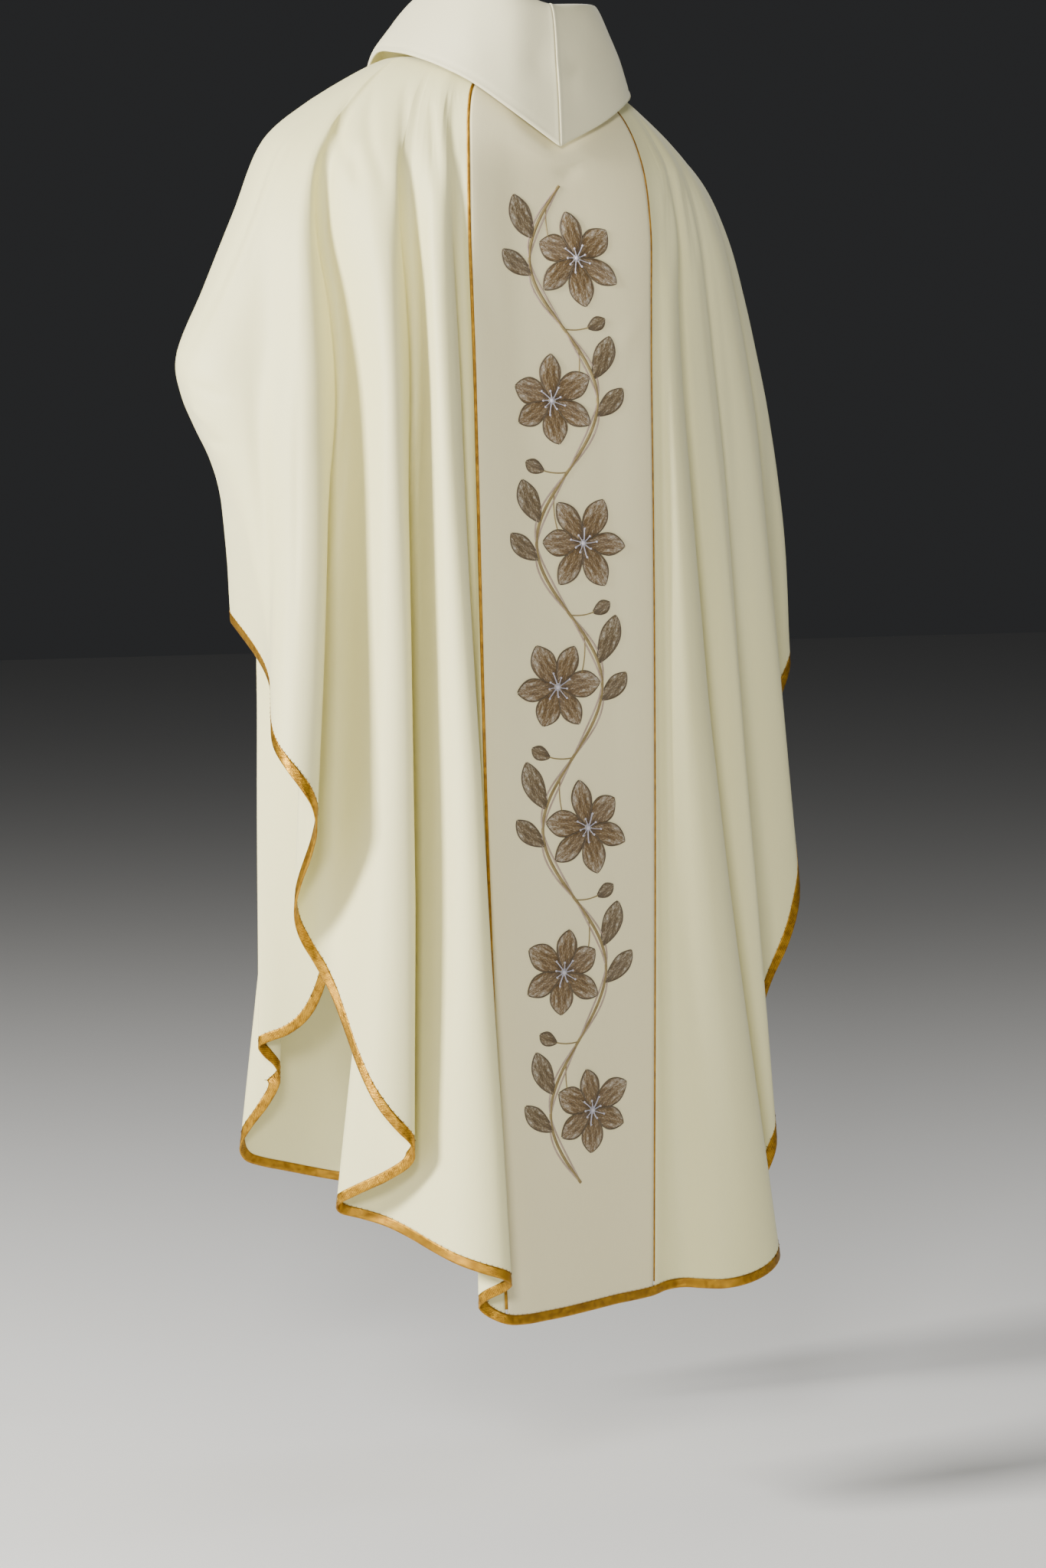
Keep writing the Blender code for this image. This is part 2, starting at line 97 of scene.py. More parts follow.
bandFolds = [
    ("right_seam", 2, (.165, .117, -.120), (.172, .130, -.320), (.176, .149), (.176, .150, -1.279)),
    ("band_right", 2, (.120, .142, -.121), (.127, .154, -.320), (.134, .174), (.138, .183, -1.281)),
    ("band_middle", 2, (.074, .162, -.121), (.081, .175, -.320), (.092, .199), (.101, .215, -1.284)),
    ("band_left", 2, (.029, .181, -.121), (.036, .194, -.320), (.048, .221), (.063, .247, -1.286)),
]
frontFolds = [
    ("left_arm", 3, (.219, -.085, -.100), (.310, -.080, -.318), (.250, -.066), (.203, -.073, -.625)),
    ("left_wrist", 3, (.196, -.113, -.115), (.245, -.155, -.330), (.175, -.105), (.137, -.086, -.860)),
    ("left_dip_1", 3, (.168, -.130, -.126), (.205, -.174, -.330), (.160, -.132), (.142, -.145, -1.030)),
    ("left_top_1", 3, (.146, -.140, -.134), (.178, -.206, -.325), (.194, -.198), (.201, -.187, -1.050)),
    ("left_dip_2", 3, (.122, -.148, -.142), (.142, -.191, -.325), (.146, -.188), (.150, -.186, -1.088)),
    ("left_top_2", 3, (.100, -.156, -.150), (.118, -.211, -.320), (.154, -.226), (.206, -.234, -1.176)),
    ("left_dip_3", 3, (.076, -.162, -.160), (.088, -.196, -.320), (.108, -.216), (.138, -.250, -1.200)),
    ("left_top_3", 3, (.050, -.168, -.168), (.058, -.209, -.320), (.070, -.228), (.086, -.254, -1.214)),
    ("left_dip_4", 2, (.026, -.171, -.172), (.030, -.200, -.320), (.034, -.210), (.040, -.224, -1.220)),
    ("front_middle", 3, (.000, -.173, -.175), (.002, -.205, -.320), (.000, -.222), (-.004, -.243, -1.222)),
    ("right_dip_4", 3, (-.030, -.170, -.175), (-.036, -.199, -.320), (-.044, -.207), (-.052, -.222, -1.221)),
    ("right_top_3", 3, (-.058, -.166, -.172), (-.068, -.210, -.322), (-.086, -.229), (-.102, -.256, -1.214)),
    ("right_dip_3", 3, (-.084, -.160, -.166), (-.098, -.196, -.324), (-.114, -.200), (-.134, -.213, -1.196)),
    ("right_top_2", 3, (-.108, -.153, -.160), (-.128, -.211, -.326), (-.160, -.224), (-.206, -.232, -1.160)),
    ("right_dip_2", 3, (-.130, -.144, -.154), (-.154, -.190, -.328), (-.160, -.176), (-.166, -.163, -1.070)),
    ("right_top_1", 3, (-.154, -.134, -.148), (-.190, -.203, -.332), (-.206, -.188), (-.218, -.172, -.990)),
    ("right_dip_1", 3, (-.178, -.122, -.142), (-.222, -.172, -.336), (-.220, -.142), (-.208, -.122, -.880)),
    ("right_wrist", 3, (-.202, -.103, -.136), (-.264, -.160, -.338), (-.262, -.140), (-.254, -.128, -.760)),
    ("right_arm", 3, (-.224, -.068, -.128), (-.308, -.084, -.326), (-.324, -.080), (-.328, -.084, -.664)),
]


def turned(across, out, z):
    turn = math.radians(drape["backTurn"])
    c, s = math.cos(turn), math.sin(turn)
    return Vector((-c * across + s * out, s * across + c * out, z))


def curveThrough(points, steps, closed=False):
    # a smooth curve through the points, with steps[i] spans after point i
    n = len(points)
    made = []
    for i in range(n if closed else n - 1):
        p1, p2 = points[i], points[(i + 1) % n]
        p0 = points[i - 1] if closed or i > 0 else 2 * p1 - p2
        p3 = points[(i + 2) % n] if closed or i + 2 < n else 2 * p2 - p1
        t1 = max((p1 - p0).length, 1e-6) ** 0.5
        t2 = t1 + max((p2 - p1).length, 1e-6) ** 0.5
        t3 = t2 + max((p3 - p2).length, 1e-6) ** 0.5
        for k in range(steps[i]):
            t = t1 + (t2 - t1) * k / steps[i]
            a1 = p0 * ((t1 - t) / t1) + p1 * (t / t1)
            a2 = p1 * ((t2 - t) / (t2 - t1)) + p2 * ((t - t1) / (t2 - t1))
            a3 = p2 * ((t3 - t) / (t3 - t2)) + p3 * ((t - t2) / (t3 - t2))
            b1 = a1 * ((t2 - t) / t2) + a2 * (t / t2)
            b2 = a2 * ((t3 - t) / (t3 - t1)) + a3 * ((t - t1) / (t3 - t1))
            made.append(b1 * ((t2 - t) / (t2 - t1)) + b2 * ((t - t1) / (t2 - t1)))
    if not closed:
        made.append(points[-1].copy())
    return made


def neckPoint(angle):
    c, s = math.cos(angle), math.sin(angle)
    back = s > 0
    reach = drape["neckBack"] if back else drape["neckFront"]
    endZ = drape["neckBackZ"] if back else drape["neckFrontZ"]
    x = drape["neckSide"] * c
    z = drape["neckSideZ"] + (endZ - drape["neckSideZ"]) * abs(s) ** drape["neckDrop"]
    return Vector((x, reach * s, z + drape["lean"] * x))


collar = {
    "thickness": 0.0024,
    "fold": 0.0055,
    "standDepth": 0.006,
    "bow": 0.003,
    "stepsDown": (6, 8, 4, 4, 10, 16),
    "stepsRound": (26, 14, 10, 8, 8, 8, 8, 10, 12),
    "seamRidge": 0.0011, "seamWidth": 0.0022,      # the pressed seam at the centre back
    "seamAt": 0.0012, "leftSeamShare": 0.25,
    "edgeRoll": 0.0006, "edgeAt": 0.006, "edgeWidth": 0.0022,      # the groove inside the edge
    "standIn": 0.0038,
    "halfGap": 0.0001,
}

# One half of the collar from the back to the front: lower edge (x, y, z) and top fold (x, y, z).
collarShape = [
    ((.000, .182, -.089), (.000, .156, .055)),
    ((.052, .172, -.058), (.040, .146, .062)),
    ((.084, .154, -.036), (.064, .124, .066)),
    ((.104, .130, -.023), (.078, .096, .068)),
    ((.119, .094, -.012), (.087, .062, .067)),
    ((.126, .046, -.004), (.098, .026, .050)),
    ((.126, .000, -.003), (.106, -.014, .020)),
    ((.114, -.056, -.030), (.094, -.056, .000)),
    ((.076, -.118, -.070), (.060, -.094, -.020)),
    ((.000, -.164, -.120), (.000, -.118, -.032)),
]


def collarRings():
    rings = []
    for which in (0, 1):
        left = [Vector(row[which]) for row in collarShape]
        right = [Vector((-p.x, p.y, p.z)) for p in reversed(left[1:-1])]
        ring = left + right
        for p in ring:
            p.z += drape["lean"] * p.x
        rings.append(ring)
    return rings


def underCollar(angle):
    ring = collarRings()[0]
    way = Vector((math.cos(angle), math.sin(angle)))
    for i, a in enumerate(ring):
        b = ring[(i + 1) % len(ring)]
        sideA = way.x * a.y - way.y * a.x
        sideB = way.x * b.y - way.y * b.x
        if sideA >= 0 > sideB:
            return a.lerp(b, sideA / (sideA - sideB)) - Vector((way.x, way.y, 1)) * drape["underCollar"]
    return neckPoint(angle)


def foldColumn(row, place):
    yoke, elbow, hem = place(*row[2]), place(*row[3]), place(*row[5])
    middle = place(*row[4], (elbow.z + hem.z) / 2)
    angle = math.atan2(yoke.y, yoke.x)
    return [neckPoint(angle), underCollar(angle), yoke, elbow, middle, hem]


def straightened(name, points):
    # cloth pulled straight from the shoulder to the raised elbow
    pull = drape["straightArm"].get(name, 0)
    first, last = sum(drape["stepsDown"][:2]), sum(drape["stepsDown"][:3])
    for i in range(first + 1, last):
        chord = points[first].lerp(points[last], (i - first) / (last - first))
        points[i] = points[i].lerp(chord, pull)
    return points


def softened(level, fixed):
    for _ in range(drape["softening"]):
        n = len(level)
        level = [p if j in fixed else p * 0.5 + (level[j - 1] + level[(j + 1) % n]) * 0.25
                 for j, p in enumerate(level)]
    return level


def hangCloth():
    # the whole garment as one fine grid of points, rows going down and columns going clockwise
    rows = [(row, turned) for row in leftBackFolds]
    rows += [(row, lambda x, y, z: Vector((x, y, z))) for row in frontFolds]
    rows += [(row, turned) for row in rightBackFolds + bandFolds]
    steps = [row[1] for row, _ in rows]
    at, count = {}, 0
    for row, _ in rows:
        at[row[0]] = count
        count += row[1]
    columns = [straightened(row[0], curveThrough(foldColumn(row, place), drape["stepsDown"]))
               for row, place in rows]
    span = (at["left_seam"] - at["right_seam"]) % count
    fixed = {(at["right_seam"] + k) % count for k in range(span + 1)}
    fine = []
    for i in range(len(columns[0])):
        level = softened(curveThrough([c[i] for c in columns], steps, closed=True), fixed)
        fine.append(curveThrough(level, [drape["fineRound"]] * count, closed=True))
    wide = len(fine[0])
    downSteps = [drape["fineDown"]] * (len(fine) - 1)
    strips = [curveThrough([level[j] for level in fine], downSteps) for j in range(wide)]
    points = np.array([[tuple(strips[j][i]) for j in range(wide)] for i in range(len(strips[0]))])
    return points, {name: place * drape["fineRound"] for name, place in at.items()}


def normalsOf(points, closed=True):
    # outward normals of a grid of points
    if closed:
        across = np.roll(points, -1, axis=1) - np.roll(points, 1, axis=1)
    else:
        across = np.gradient(points, axis=1)
    down = np.gradient(points, axis=0)
    normals = np.cross(across, down)
    return normals / np.maximum(np.linalg.norm(normals, axis=2, keepdims=True), 1e-12)


clothPoints, columnAt = hangCloth()
clothRows, clothColumns = clothPoints.shape[:2]
print("cloth hung:", clothRows, "rows by", clothColumns, "columns")


def onCloth(row, column, points=None):
    # a point between the grid's own points; columns go round
    grid = clothPoints if points is None else points
    i = min(max(int(math.floor(row)), 0), clothRows - 2)
    j = int(math.floor(column))
    u, v = row - i, column - j
    a, b = grid[i, j % clothColumns], grid[i, (j + 1) % clothColumns]
    c, d = grid[i + 1, j % clothColumns], grid[i + 1, (j + 1) % clothColumns]
    return a * (1 - u) * (1 - v) + b * (1 - u) * v + c * u * (1 - v) + d * u * v


# Soft troughs and ridges laid over the hang, with widths and depths in metres. Columns are counted
# from the left seam and rows from the neck.
wear = {
    "seed": 11,
    "fineWrinkles": 150,
    "shortest": 10, "longest": 62,       # rows
    "narrowest": 0.008, "widest": 0.022,
    "shallowest": 0.0004, "deepest": 0.0016,
    "sway": 5,                           # columns that a wrinkle drifts over its length
    "besideBand": 4,                     # columns
    "firstRow": 14, "lastStart": 34, "aboveHem": 12,
    "samples": 14,                       # at least this many places along a trough
    "columnWidth": 0.003,
    "endFade": 0.03, "fadePower": 0.8, "merge": 0.15,
}
pulls = [
    # (column, steps past it, row) at each end, width, depth (minus stands out)
    (("dip", 2, 35), ("arm_back", 5, 61), 0.009, -0.0032),
    (("bump", 2, 40), ("arm_back", 8, 64), 0.010, 0.0026),
    (("ridge_a", 11, 48), ("ridge_a", 9, 66), 0.026, 0.0034),
    (("ridge_a", 0, 62), ("ridge_a", 1, 112), 0.005, 0.0016),
    (("back_a", 1, 36), ("back_a", 3, 56), 0.008, 0.0040),
    (("ridge_b", 11, 37), ("ridge_b", 5, 43), 0.007, 0.0030),
    (("tip_a", 5, 27), ("ridge_b", 9, 41), 0.007, 0.0032),
    (("slope_b", 4, 25), ("tip_b", 7, 43), 0.008, 0.0030),
    (("tip_b", 8, 23), ("back_b", 0, 46), 0.007, 0.0034),
    (("ridge_c", 8, 25), ("tip_c", 8, 43), 0.007, 0.0030),
    (("tip_c", 0, 21), ("back_c", 4, 38), 0.007, 0.0026),
    (("arm_back", 7, 68), ("bump", 2, 69), 0.006, 0.0022),
    (("arm_edge", 0, 74), ("arm_back", 1, 76), 0.006, -0.0020),
    (("arm_back", 6, 81), ("bump", 4, 79), 0.006, 0.0018),
    (("right_seam", 2, 59), ("right_seam", 7, 61), 0.006, -0.0016),
    (("right_seam", 7, 65), ("right_seam", 3, 64), 0.006, 0.0014),
    (("band_right", 1, 74), ("right_seam", 2, 73), 0.006, -0.0012),
    (("band_middle", 0, 39), ("band_right", 4, 33), 0.008, 0.0016),
    (("tip_ab", 1, 39), ("tip_ab", 11, 53), 0.008, 0.0030),
    (("back_bc", 9, 39), ("tip_bc", 1, 53), 0.008, 0.0030),
    (("back_a", 2, 42), ("back_a", 1, 124), 0.008, 0.0065),
    (("back_b", 2, 36), ("back_b", 2, 124), 0.008, 0.0065),
    (("back_c", 0, 38), ("back_c", 1, 124), 0.007, 0.0045),
    (("slope_c", 8, 60), ("slope_c", 8, 120), 0.007, -0.0025),
    (("slope_b", 8, 60), ("slope_b", 9, 120), 0.007, -0.0025),
    (("back_ab", 1, 40), ("back_ab", 2, 124), 0.007, 0.0055),
    (("back_bc", 2, 40), ("back_bc", 2, 122), 0.007, 0.0050),
    (("back_cd", 2, 46), ("back_cd", 2, 120), 0.008, 0.0045),
    (("dip_ab", 3, 50), ("dip_ab", 3, 124), 0.007, 0.0030),
    (("dip", 2, 62), ("dip", 3, 118), 0.010, 0.0040),
    (("left_top_3", 2, 40), ("left_dip_4", 3, 76), 0.012, 0.0030),
    (("right_top_3", 5, 44), ("right_dip_3", 2, 80), 0.012, 0.0028),
]


def pressed(points, normals, path, width, depth):
    # moves the cloth in along its normals near a path, fading out at both ends
    samples = max(wear["samples"], int(abs(path[3] - path[1])))
    line = [(path[0] + (path[2] - path[0]) * k / samples, path[1] + (path[3] - path[1]) * k / samples)
            for k in range(samples + 1)]
    reach = int(3 * width / wear["columnWidth"]) + 4
    low, high = int(min(path[1], path[3])) - 3, int(max(path[1], path[3])) + 4
    rows = np.arange(max(low, 0), min(high, clothRows))
    first = int(min(path[0], path[2])) - reach
    columns = np.arange(first, int(max(path[0], path[2])) + reach + 1)
    patch = points[np.ix_(rows, columns % clothColumns)]
    nearest = np.full(patch.shape[:2], 1e9)
    along = np.zeros(patch.shape[:2])
    for k, (column, row) in enumerate(line):
        away = np.linalg.norm(patch - onCloth(row, column, points), axis=2)
        closer = away < nearest
        nearest = np.where(closer, away, nearest)
        along = np.where(closer, k / samples, along)
    whole = onCloth(line[0][1], line[0][0], points) - onCloth(line[-1][1], line[-1][0], points)
    spacing = np.linalg.norm(whole) / samples
    nearest = np.sqrt(np.maximum(nearest ** 2 - spacing ** 2 * wear["merge"], 0))
    fade = np.sin(np.pi * (along * (1 - 2 * wear["endFade"]) + wear["endFade"])) ** wear["fadePower"]
    push = depth * fade * np.exp(-(nearest / width) ** 2)
    place = np.ix_(rows, columns % clothColumns)
    points[place] = patch - normals[place] * push[..., None]


def wrinkled(points):
    dice = random.Random(wear["seed"])
    normals = normalsOf(points)
    points = points.copy()
    for start, end, width, depth in pulls:
        path = (columnAt[start[0]] + start[1], start[2], columnAt[end[0]] + end[1], end[2])
        pressed(points, normals, path, width, depth)
    bandWide = (columnAt["left_seam"] - columnAt["right_seam"]) % clothColumns
    for _ in range(wear["fineWrinkles"]):
        edge = wear["besideBand"]
        column = dice.uniform(edge, clothColumns - bandWide - edge) + columnAt["left_seam"]
        row = dice.uniform(wear["firstRow"], clothRows - wear["lastStart"])
        length = dice.uniform(wear["shortest"], wear["longest"])
        sway = dice.uniform(-1, 1) * wear["sway"]
        path = (column, row, column + sway, min(row + length, clothRows - wear["aboveHem"]))
        width = dice.uniform(wear["narrowest"], wear["widest"])
        depth = dice.choice((-1, 1)) * dice.uniform(wear["shallowest"], wear["deepest"])
        pressed(points, normals, path, width, depth)
    return points


clothPoints = wrinkled(clothPoints)
clothNormals = normalsOf(clothPoints)
print("troughs and ridges pressed in")


def newPiece(name, bm, finish):
    mesh = bpy.data.meshes.new(name)
    bm.to_mesh(mesh)
    bm.free()
    mesh.shade_smooth()
    mesh.materials.append(finish)
    piece = bpy.data.objects.new(name, mesh)
    bpy.context.scene.collection.objects.link(piece)
    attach(piece, "root")
    return piece


def gridSheet(bm, points, uvs, tube=False):
    # a grid from bmesh.ops laid on rows and columns of points, with its UVs in metres
    rows, columns = len(points), len(points[0])
    layer = bm.loops.layers.uv.verify()
    made = bmesh.ops.create_grid(
        bm, x_segments=columns - 1, y_segments=rows - 1, size=0.5, calc_uvs=True)["verts"]

    def placeOf(vert):
        return round((vert.co.y + 0.5) * (rows - 1)), round((vert.co.x + 0.5) * (columns - 1))

    for face in {face for vert in made for face in vert.link_faces}:
        for loop in face.loops:
            i, j = placeOf(loop.vert)
            loop[layer].uv = uvs[i][j]
    for vert in made:
        i, j = placeOf(vert)
        vert.co = points[i][j]
    if tube:
        bmesh.ops.remove_doubles(bm, verts=made, dist=1e-6)
    return made


def lengthsOf(points, axis):
    # distance run along a grid's rows or columns, in metres
    steps = np.linalg.norm(np.diff(points, axis=axis), axis=2)
    start = np.zeros_like(np.take(steps, [0], axis=axis))
    return np.concatenate([start, np.cumsum(steps, axis=axis)], axis=axis)


def clothUvs(points):
    across = lengthsOf(points, 1)
    down = lengthsOf(points, 0)
    middle = down[:, down.shape[1] // 2]
    return np.stack([across - across[:, -1:] / 2, -np.repeat(middle[:, None], points.shape[1], 1)], axis=2)


def solidified(piece, thickness, offset=-1.0):
    shell = piece.modifiers.new("thickness", "SOLIDIFY")
    shell.thickness = thickness
    shell.offset = offset
    shell.use_even_offset = False


def areaOf(points):
    a = points[1:, 1:] - points[:-1, :-1]
    b = points[1:, :-1] - points[:-1, 1:]
    return float(np.linalg.norm(np.cross(a, b), axis=2).sum() / 2)


# Finishes. Patterns run on each piece's own UV map in metres, or on Object coordinates.
def newFinish(name, colour, roughness, metallic=0.0, sheen=0.0):
    finish = bpy.data.materials.new(name)
    finish.use_nodes = True
    shader = finish.node_tree.nodes["Principled BSDF"]
    shader.inputs["Base Color"].default_value = (*colour, 1)
    shader.inputs["Roughness"].default_value = roughness
    shader.inputs["Metallic"].default_value = metallic
    shader.inputs["Sheen Weight"].default_value = sheen
    shader.inputs["Sheen Roughness"].default_value = 0.45
    return finish


def addNode(finish, kind, **settings):
    node = finish.node_tree.nodes.new(kind)
    for key, value in settings.items():
        if key in node.inputs:
            node.inputs[key].default_value = value
        else:
            setattr(node, key, value)
    return node


def join(finish, start, end):
    finish.node_tree.links.new(start, end)


def uvPattern(finish, scale, turn=0.0):
    place = addNode(finish, "ShaderNodeTexCoord")
    mapping = addNode(finish, "ShaderNodeMapping")
    mapping.inputs["Scale"].default_value = scale
    mapping.inputs["Rotation"].default_value = (0, 0, turn)
    join(finish, place.outputs["UV"], mapping.inputs["Vector"])
    return mapping.outputs["Vector"]


def objectPattern(finish, scale=(1, 1, 1)):
    place = addNode(finish, "ShaderNodeTexCoord")
    mapping = addNode(finish, "ShaderNodeMapping")
    mapping.inputs["Scale"].default_value = scale
    join(finish, place.outputs["Object"], mapping.inputs["Vector"])
    return mapping.outputs["Vector"]


def scaledSum(finish, source, factor, plus):
    # source * factor + plus, where plus is a number or another output
    node = addNode(finish, "ShaderNodeMath", operation="MULTIPLY_ADD")
    join(finish, source, node.inputs[0])
    node.inputs[1].default_value = factor
    if isinstance(plus, float):
        node.inputs[2].default_value = plus
    else:
        join(finish, plus, node.inputs[2])
    return node.outputs["Value"]


def noiseOn(finish, place, scale, detail):
    node = addNode(finish, "ShaderNodeTexNoise", Scale=scale, Detail=detail)
    join(finish, place, node.inputs["Vector"])
    return node.outputs["Fac"]


def wavesOn(finish, place, scale, distortion, direction="X", detailScale=1.0):
    node = addNode(finish, "ShaderNodeTexWave", bands_direction=direction, Scale=scale)
    node.inputs["Distortion"].default_value = distortion
    node.inputs["Detail Scale"].default_value = detailScale
    join(finish, place, node.inputs["Vector"])
    return node.outputs["Fac"]


def ramp(finish, source, stops):
    node = addNode(finish, "ShaderNodeValToRGB")
    marks = node.color_ramp.elements
    while len(marks) < len(stops):
        marks.new(0.5)
    for mark, (place, colour) in zip(marks, stops):
        mark.position = place
        mark.color = (*colour, 1)
    join(finish, source, node.inputs["Fac"])
    return node.outputs["Color"]


def bumpChain(finish, layers):
    # layers of (height output, strength, distance), each on top of the one before
    shader = finish.node_tree.nodes["Principled BSDF"]
    before = None
    for height, strength, distance in layers:
        bump = addNode(finish, "ShaderNodeBump", Strength=strength, Distance=distance)
        join(finish, height, bump.inputs["Height"])
        if before:
            join(finish, before, bump.inputs["Normal"])
        before = bump.outputs["Normal"]
    join(finish, before, shader.inputs["Normal"])


waveUnit = 0.314                         # a wave texture's scale for one band a metre
clothLook = {
    "ivory": (0.860, 0.810, 0.440), "ivoryDeep": (0.820, 0.765, 0.380),
    "stone": (0.850, 0.775, 0.470), "stoneDeep": (0.805, 0.725, 0.425),
    "collarLight": (0.815, 0.765, 0.500), "collarDeep": (0.770, 0.715, 0.455),
    "roughness": 0.58, "sheen": 0.25,
    "threadsPerMetre": 1500, "bias": 58,
    "twill": 0.22, "slub": 0.25, "hand": 0.35,
}


def wovenCloth(name, light, deep, roughness):
    # a fine twill: two crossing threads, uneven slubs along them and a soft hand
    finish = newFinish(name, light, roughness, sheen=clothLook["sheen"])
    shader = finish.node_tree.nodes["Principled BSDF"]
    threads = clothLook["threadsPerMetre"] * waveUnit
    flat = uvPattern(finish, (1, 1, 1))
    bias = uvPattern(finish, (1, 1, 1), math.radians(clothLook["bias"]))
    warp = wavesOn(finish, bias, threads, 0.6, detailScale=0.4)
    weft = wavesOn(finish, flat, threads * 0.8, 0.4, direction="Y")
    weave = addNode(finish, "ShaderNodeMath", operation="MULTIPLY")
    join(finish, warp, weave.inputs[0])
    join(finish, weft, weave.inputs[1])
    slub = noiseOn(finish, uvPattern(finish, (900, 60, 1)), 1.0, 2.0)
    hand = noiseOn(finish, objectPattern(finish, (1, 1, 0.45)), 42.0, 2.0)
    tone = noiseOn(finish, objectPattern(finish, (1, 1, 0.5)), 3.5, 3.0)
    colour = ramp(finish, scaledSum(finish, slub, 0.35, tone), [(0.35, deep), (0.85, light)])
    join(finish, colour, shader.inputs["Base Color"])
    bumpChain(finish, [
        (hand, clothLook["hand"], 0.0006),
        (slub, clothLook["slub"], 0.00012),
        (weave.outputs["Value"], clothLook["twill"], 0.0001),
    ])
    return finish


ivoryCloth = wovenCloth("ivory_cloth", clothLook["ivory"], clothLook["ivoryDeep"], clothLook["roughness"])
bandCloth = wovenCloth("band_cloth", clothLook["stone"], clothLook["stoneDeep"], 0.66)
collarCloth = wovenCloth("collar_cloth", clothLook["collarLight"], clothLook["collarDeep"], 0.62)

goldLook = {
    "bright": (0.62, 0.34, 0.020), "mid": (0.36, 0.165, 0.006), "dark": (0.11, 0.045, 0.002),
    "roughness": 0.34, "metallic": 0.75,
    "glintsPerMetre": 900, "diagonalsPerMetre": 700,
}


def goldWeave(name, turn, dull=0.0):
    # metallic threads on the bias: fine diagonals broken by glints, which are both bumped and painted into
    # the base colour as painted glints
    finish = newFinish(name, goldLook["mid"], goldLook["roughness"] + dull, goldLook["metallic"] - dull)
    shader = finish.node_tree.nodes["Principled BSDF"]
    bias = math.radians(turn)
    diagonals = goldLook["diagonalsPerMetre"] * waveUnit
    diagonal = wavesOn(finish, uvPattern(finish, (1, 1, 1), bias), diagonals, 1.5)
    glint = addNode(finish, "ShaderNodeTexVoronoi", Scale=goldLook["glintsPerMetre"], Randomness=0.9)
    join(finish, uvPattern(finish, (1, 1.6, 1), bias), glint.inputs["Vector"])
    patchy = noiseOn(finish, uvPattern(finish, (1, 1, 1)), 140.0, 4.0)
    spread = scaledSum(finish, diagonal, 0.45, patchy)
    # painted glints: the glint spots lighten the base colour, laid over the weave's diagonals and patches
    weaveToneAndPaintedGlints = scaledSum(finish, glint.outputs["Distance"], -0.35, spread)
    stops = [(0.22, goldLook["dark"]), (0.48, goldLook["mid"]), (0.82, goldLook["bright"])]
    join(finish, ramp(finish, weaveToneAndPaintedGlints, stops), shader.inputs["Base Color"])
    bumpChain(finish, [(diagonal, 0.5, 0.00025), (glint.outputs["Distance"], 0.6, 0.0003)])
    return finish


goldBinding = goldWeave("gold_binding", 45)
goldPiping = goldWeave("gold_piping", 28, dull=0.10)
print("finishes made")


# The four panels, each cut from the hang between two seams
panels = {
    "back_left": {"from": "left_seam", "to": "left_side", "tuck": ("tuck", "sideGap"),
                  "flat": (0.80, 1.30), "area": 0.58, "finish": ivoryCloth, "slot": "ivory_cloth"},
    "front": {"from": "left_side", "to": "right_side", "tuck": ("sideGap", "sideGap"),
              "flat": (1.45, 1.25), "area": 0.86, "finish": ivoryCloth, "slot": "ivory_cloth"},
    "back_right": {"from": "right_side", "to": "right_seam", "tuck": ("sideGap", "tuck"),
                   "flat": (0.58, 1.30), "area": 0.39, "finish": ivoryCloth, "slot": "ivory_cloth"},
    "back_band": {"from": "right_seam", "to": "left_seam", "tuck": ("tuck", "tuck"),
                  "flat": (0.20, 1.27), "area": None, "finish": bandCloth, "slot": "band_cloth"},
}


def columnsBetween(start, end):
    span = (columnAt[end] - columnAt[start]) % clothColumns
    return [(columnAt[start] + k) % clothColumns for k in range(span + 1)]


def cutPanel(columns, tucks):
    points = clothPoints[:, columns].copy()
    for edge, beside, tuck in ((0, 1, tucks[0]), (-1, -2, tucks[1])):
        way = points[:, beside] - points[:, edge]
        size = np.maximum(np.linalg.norm(way, axis=1, keepdims=True), 1e-6)
        points[:, edge] += way / size * np.minimum(tuck, size * drape["tuckShare"])
    points[-1] += (points[-2] - points[-1]) * drape["hemShare"]
    return points


for name, panel in panels.items():
    columns = columnsBetween(panel["from"], panel["to"])
    points = cutPanel(columns, [drape[key] for key in panel["tuck"]])
    bm = bmesh.new()
    gridSheet(bm, points, clothUvs(points))
    piece = newPiece(name + "_cloth", bm, panel["finish"])
    solidified(piece, drape["cloth"])
    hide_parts(name)
    print("panel", name, "of", round(areaOf(points), 3), "square metres")


# The gold bias binding folded over the hem's edge
binding = {
    "height": 0.0100,
    "proud": 0.0005,
    "tape": 0.0004,
    "lip": 0.0002, "under": 0.0004,      # where its fold turns, above and below the hem's edge
    "draw": 0.9, "slack": 0.0001,
    "uvSlant": 0.7,
    "steps": 5,                          # from its upper edge down to the fold, on each face
    "spread": 5,                         # smoothing passes of its direction round the tips
}


def hemFrames():
    # for each place on the hem: the way up the cloth, square to the hem, in grid units per metre
    last = clothRows - 1
    edge = clothPoints[last]
    along = np.roll(edge, -1, axis=0) - np.roll(edge, 1, axis=0)
    spacing = np.linalg.norm(along, axis=1) / 2
    along = along / np.linalg.norm(along, axis=1, keepdims=True)
    square = np.cross(clothNormals[last], along)
    up = clothPoints[last - 3] - edge
    square *= np.sign(np.sum(square * up, axis=1, keepdims=True))
    for _ in range(binding["spread"]):
        square = (np.roll(square, 1, axis=0) + 2 * square + np.roll(square, -1, axis=0)) / 4
    square /= np.linalg.norm(square, axis=1, keepdims=True)
    rise = up / 3
    # square = a * rise + b * along, solved in the cloth's own plane
    rr, ra = np.sum(rise * rise, axis=1), np.sum(rise * along, axis=1)
    sr, sa = np.sum(square * rise, axis=1), np.sum(square * along, axis=1)
    a = (sr - sa * ra) / np.maximum(rr - ra * ra, 1e-9)
    b = sa - a * ra
    return a, b / np.maximum(spacing, 1e-5)


hemUp, hemAlong = hemFrames()


